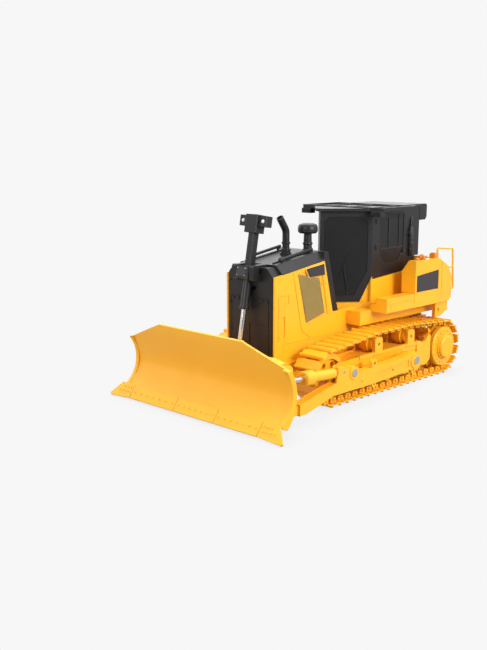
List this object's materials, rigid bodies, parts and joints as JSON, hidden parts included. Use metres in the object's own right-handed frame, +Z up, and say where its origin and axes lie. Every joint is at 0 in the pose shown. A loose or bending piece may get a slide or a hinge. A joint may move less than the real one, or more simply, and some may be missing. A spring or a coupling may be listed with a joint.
{
  "type": "toy bulldozer",
  "caption": "Radio-control toy track-type bulldozer with a wide straight blade, black cab and open-link tracks, in plain yellow and black plastic.",
  "frame": {"origin": "on the ground under the middle of the whole machine's bounding box", "axes": "+Z up, +Y towards the rear, -Y towards the blade, +X the machine's own left side"},
  "size_m": [0.1732, 0.256, 0.1372],
  "materials": {
    "yellow_body": "satin moulded plastic",
    "black_body": "satin moulded plastic",
    "black_gloss": "glossy tinted plastic",
    "orange_caps": "satin moulded plastic",
    "steel_pins": "bright plated",
    "gear_nylon": "natural moulded",
    "motor_can": "plated",
    "board": "coated laminate",
    "cells": "printed sleeve, blank",
    "contacts": "plated spring steel",
    "screws": "dark plated"
  },
  "bodies": {
    "hull": {"air_precleaner": "black_body", "axle_pins": "steel_pins", "battery_cells": "cells", "battery_contacts": "contacts", "body_screws": "screws", "cab_roof": "black_body", "cab_shell": "black_body", "cab_windows": "black_gloss", "circuit_board": "board", "drawbar": "yellow_body", "engine_enclosure": "yellow_body", "exhaust_stack": "black_body", "fender_deck": "yellow_body", "fuel_tank": "yellow_body", "gear_motors": "motor_can", "grab_rails": "yellow_body", "hood_top": "black_body", "left_track_shoes": "yellow_body", "main_chassis": "yellow_body", "radiator_guard": "black_body", "right_track_shoes": "yellow_body", "tank_caps": "orange_caps", "track_frames": "yellow_body"},
    "left_sprocket": {"left_sprocket": "yellow_body", "left_drive_axle": "gear_nylon"},
    "left_reduction_gear": {"left_reduction_gear": "gear_nylon"},
    "left_motor_pinion": {"left_motor_pinion": "gear_nylon"},
    "left_idler": {"left_idler": "yellow_body"},
    "left_carrier_roller_1": {"left_carrier_roller_1": "yellow_body"},
    "left_carrier_roller_2": {"left_carrier_roller_2": "yellow_body"},
    "left_track_roller_1": {"left_track_roller_1": "yellow_body"},
    "left_track_roller_2": {"left_track_roller_2": "yellow_body"},
    "left_track_roller_3": {"left_track_roller_3": "yellow_body"},
    "right_sprocket": {"right_sprocket": "yellow_body", "right_drive_axle": "gear_nylon"},
    "right_reduction_gear": {"right_reduction_gear": "gear_nylon"},
    "right_motor_pinion": {"right_motor_pinion": "gear_nylon"},
    "right_idler": {"right_idler": "yellow_body"},
    "right_carrier_roller_1": {"right_carrier_roller_1": "yellow_body"},
    "right_carrier_roller_2": {"right_carrier_roller_2": "yellow_body"},
    "right_track_roller_1": {"right_track_roller_1": "yellow_body"},
    "right_track_roller_2": {"right_track_roller_2": "yellow_body"},
    "right_track_roller_3": {"right_track_roller_3": "yellow_body"},
    "push_frame": {"left_push_arm": "yellow_body", "right_push_arm": "yellow_body", "lift_crossbar": "yellow_body", "push_frame_pins": "steel_pins", "lift_sector_gear": "gear_nylon"},
    "lift_pinion": {"lift_pinion": "gear_nylon"},
    "lift_cylinder": {"lift_cylinder": "black_body"},
    "lift_rod": {"lift_rod": "steel_pins"},
    "blade": {"blade": "yellow_body", "cutting_edge": "yellow_body", "blade_pins": "steel_pins"},
    "left_tilt_barrel": {"left_tilt_barrel": "yellow_body"},
    "left_tilt_rod": {"left_tilt_rod": "steel_pins"},
    "right_tilt_barrel": {"right_tilt_barrel": "yellow_body"},
    "right_tilt_rod": {"right_tilt_rod": "steel_pins"},
    "battery_door": {"battery_door": "yellow_body"},
    "power_switch": {"power_switch": "black_body"}
  },
  "joints": [
    {"name": "left_sprocket_spin", "type": "hinge", "parent": "hull", "child": "left_sprocket", "pos_m": [0.043, 0.1055, 0.0225], "axis": [1, 0, 0], "continuous": true},
    {"name": "left_reduction_spin", "type": "hinge", "parent": "hull", "child": "left_reduction_gear", "pos_m": [0.019, 0.09913, 0.03269], "axis": [1, 0, 0], "continuous": true},
    {"name": "left_motor_spin", "type": "hinge", "parent": "hull", "child": "left_motor_pinion", "pos_m": [0.017, 0.08592, 0.03315], "axis": [1, 0, 0], "continuous": true},
    {"name": "left_idler_spin", "type": "hinge", "parent": "hull", "child": "left_idler", "pos_m": [0.043, -0.036, 0.0215], "axis": [1, 0, 0], "continuous": true},
    {"name": "left_carrier_roller_1_spin", "type": "hinge", "parent": "hull", "child": "left_carrier_roller_1", "pos_m": [0.043, 0.0174, 0.0373], "axis": [1, 0, 0], "continuous": true},
    {"name": "left_carrier_roller_2_spin", "type": "hinge", "parent": "hull", "child": "left_carrier_roller_2", "pos_m": [0.043, 0.0596, 0.0373], "axis": [1, 0, 0], "continuous": true},
    {"name": "left_track_roller_1_spin", "type": "hinge", "parent": "hull", "child": "left_track_roller_1", "pos_m": [0.043, 0.003, 0.0107], "axis": [1, 0, 0], "continuous": true},
    {"name": "left_track_roller_2_spin", "type": "hinge", "parent": "hull", "child": "left_track_roller_2", "pos_m": [0.043, 0.034, 0.0107], "axis": [1, 0, 0], "continuous": true},
    {"name": "left_track_roller_3_spin", "type": "hinge", "parent": "hull", "child": "left_track_roller_3", "pos_m": [0.043, 0.065, 0.0107], "axis": [1, 0, 0], "continuous": true},
    {"name": "right_sprocket_spin", "type": "hinge", "parent": "hull", "child": "right_sprocket", "pos_m": [-0.043, 0.1055, 0.0225], "axis": [1, 0, 0], "continuous": true},
    {"name": "right_reduction_spin", "type": "hinge", "parent": "hull", "child": "right_reduction_gear", "pos_m": [-0.019, 0.09913, 0.03269], "axis": [1, 0, 0], "continuous": true},
    {"name": "right_motor_spin", "type": "hinge", "parent": "hull", "child": "right_motor_pinion", "pos_m": [-0.017, 0.08592, 0.03315], "axis": [1, 0, 0], "continuous": true},
    {"name": "right_idler_spin", "type": "hinge", "parent": "hull", "child": "right_idler", "pos_m": [-0.043, -0.036, 0.0215], "axis": [1, 0, 0], "continuous": true},
    {"name": "right_carrier_roller_1_spin", "type": "hinge", "parent": "hull", "child": "right_carrier_roller_1", "pos_m": [-0.043, 0.0174, 0.0373], "axis": [1, 0, 0], "continuous": true},
    {"name": "right_carrier_roller_2_spin", "type": "hinge", "parent": "hull", "child": "right_carrier_roller_2", "pos_m": [-0.043, 0.0596, 0.0373], "axis": [1, 0, 0], "continuous": true},
    {"name": "right_track_roller_1_spin", "type": "hinge", "parent": "hull", "child": "right_track_roller_1", "pos_m": [-0.043, 0.003, 0.0107], "axis": [1, 0, 0], "continuous": true},
    {"name": "right_track_roller_2_spin", "type": "hinge", "parent": "hull", "child": "right_track_roller_2", "pos_m": [-0.043, 0.034, 0.0107], "axis": [1, 0, 0], "continuous": true},
    {"name": "right_track_roller_3_spin", "type": "hinge", "parent": "hull", "child": "right_track_roller_3", "pos_m": [-0.043, 0.065, 0.0107], "axis": [1, 0, 0], "continuous": true},
    {"name": "blade_lift", "type": "hinge", "parent": "hull", "child": "push_frame", "pos_m": [0, 0.0491, 0.022], "axis": [-1, 0, 0], "range_deg": [-2, 15]},
    {"name": "lift_pinion_spin", "type": "hinge", "parent": "hull", "child": "lift_pinion", "pos_m": [0, 0.03254, 0.0359], "axis": [-1, 0, 0], "range_deg": [-80, 15]},
    {"name": "lift_cylinder_swing", "type": "hinge", "parent": "hull", "child": "lift_cylinder", "pos_m": [0, -0.0679, 0.096], "axis": [1, 0, 0], "range_deg": [-4, 1]},
    {"name": "lift_rod_extend", "type": "slide", "parent": "lift_cylinder", "child": "lift_rod", "axis": [0, -0.1787, -0.9839], "range_m": [-0.035, 0.005]},
    {"name": "blade_pitch", "type": "hinge", "parent": "push_frame", "child": "blade", "pos_m": [0, -0.1055, 0.009], "axis": [-1, 0, 0], "range_deg": [-4, 6]},
    {"name": "left_tilt_barrel_swing", "type": "hinge", "parent": "push_frame", "child": "left_tilt_barrel", "pos_m": [0.0605, -0.0385, 0.0274], "axis": [1, 0, 0], "range_deg": [-0.6, 0.8]},
    {"name": "left_tilt_rod_extend", "type": "slide", "parent": "left_tilt_barrel", "child": "left_tilt_rod", "axis": [0, -0.9983, 0.0589], "range_m": [-0.0026, 0.0018]},
    {"name": "right_tilt_barrel_swing", "type": "hinge", "parent": "push_frame", "child": "right_tilt_barrel", "pos_m": [-0.0605, -0.0385, 0.0274], "axis": [1, 0, 0], "range_deg": [-0.6, 0.8]},
    {"name": "right_tilt_rod_extend", "type": "slide", "parent": "right_tilt_barrel", "child": "right_tilt_rod", "axis": [0, -0.9983, 0.0589], "range_m": [-0.0026, 0.0018]},
    {"name": "battery_door_pull", "type": "slide", "parent": "hull", "child": "battery_door", "axis": [0, 0, -1], "range_m": [0, 0.03]},
    {"name": "power_switch_slide", "type": "slide", "parent": "hull", "child": "power_switch", "axis": [0, 1, 0], "range_m": [0, 0.003]}
  ],
  "couplings": [
    {"joint": "left_reduction_spin", "follows": "left_sprocket_spin", "ratio": -3},
    {"joint": "left_motor_spin", "follows": "left_sprocket_spin", "ratio": 10.2},
    {"joint": "left_idler_spin", "follows": "left_sprocket_spin", "ratio": 1.0557},
    {"joint": "left_carrier_roller_1_spin", "follows": "left_sprocket_spin", "ratio": 3.4436},
    {"joint": "left_carrier_roller_2_spin", "follows": "left_sprocket_spin", "ratio": 3.4436},
    {"joint": "left_track_roller_1_spin", "follows": "left_sprocket_spin", "ratio": 3.788},
    {"joint": "left_track_roller_2_spin", "follows": "left_sprocket_spin", "ratio": 3.788},
    {"joint": "left_track_roller_3_spin", "follows": "left_sprocket_spin", "ratio": 3.788},
    {"joint": "right_reduction_spin", "follows": "right_sprocket_spin", "ratio": -3},
    {"joint": "right_motor_spin", "follows": "right_sprocket_spin", "ratio": 10.2},
    {"joint": "right_idler_spin", "follows": "right_sprocket_spin", "ratio": 1.0557},
    {"joint": "right_carrier_roller_1_spin", "follows": "right_sprocket_spin", "ratio": 3.4436},
    {"joint": "right_carrier_roller_2_spin", "follows": "right_sprocket_spin", "ratio": 3.4436},
    {"joint": "right_track_roller_1_spin", "follows": "right_sprocket_spin", "ratio": 3.788},
    {"joint": "right_track_roller_2_spin", "follows": "right_sprocket_spin", "ratio": 3.788},
    {"joint": "right_track_roller_3_spin", "follows": "right_sprocket_spin", "ratio": 3.788},
    {"joint": "lift_pinion_spin", "follows": "blade_lift", "ratio": -5},
    {"joint": "lift_cylinder_swing", "follows": "blade_lift", "ratio": -0.22985},
    {"joint": "lift_rod_extend", "follows": "blade_lift", "m_per_rad": -0.12996},
    {"joint": "left_tilt_barrel_swing", "follows": "blade_pitch", "ratio": 0.0841},
    {"joint": "left_tilt_rod_extend", "follows": "blade_pitch", "m_per_rad": -0.022163},
    {"joint": "right_tilt_barrel_swing", "follows": "blade_pitch", "ratio": 0.0841},
    {"joint": "right_tilt_rod_extend", "follows": "blade_pitch", "m_per_rad": -0.022163}
  ]
}
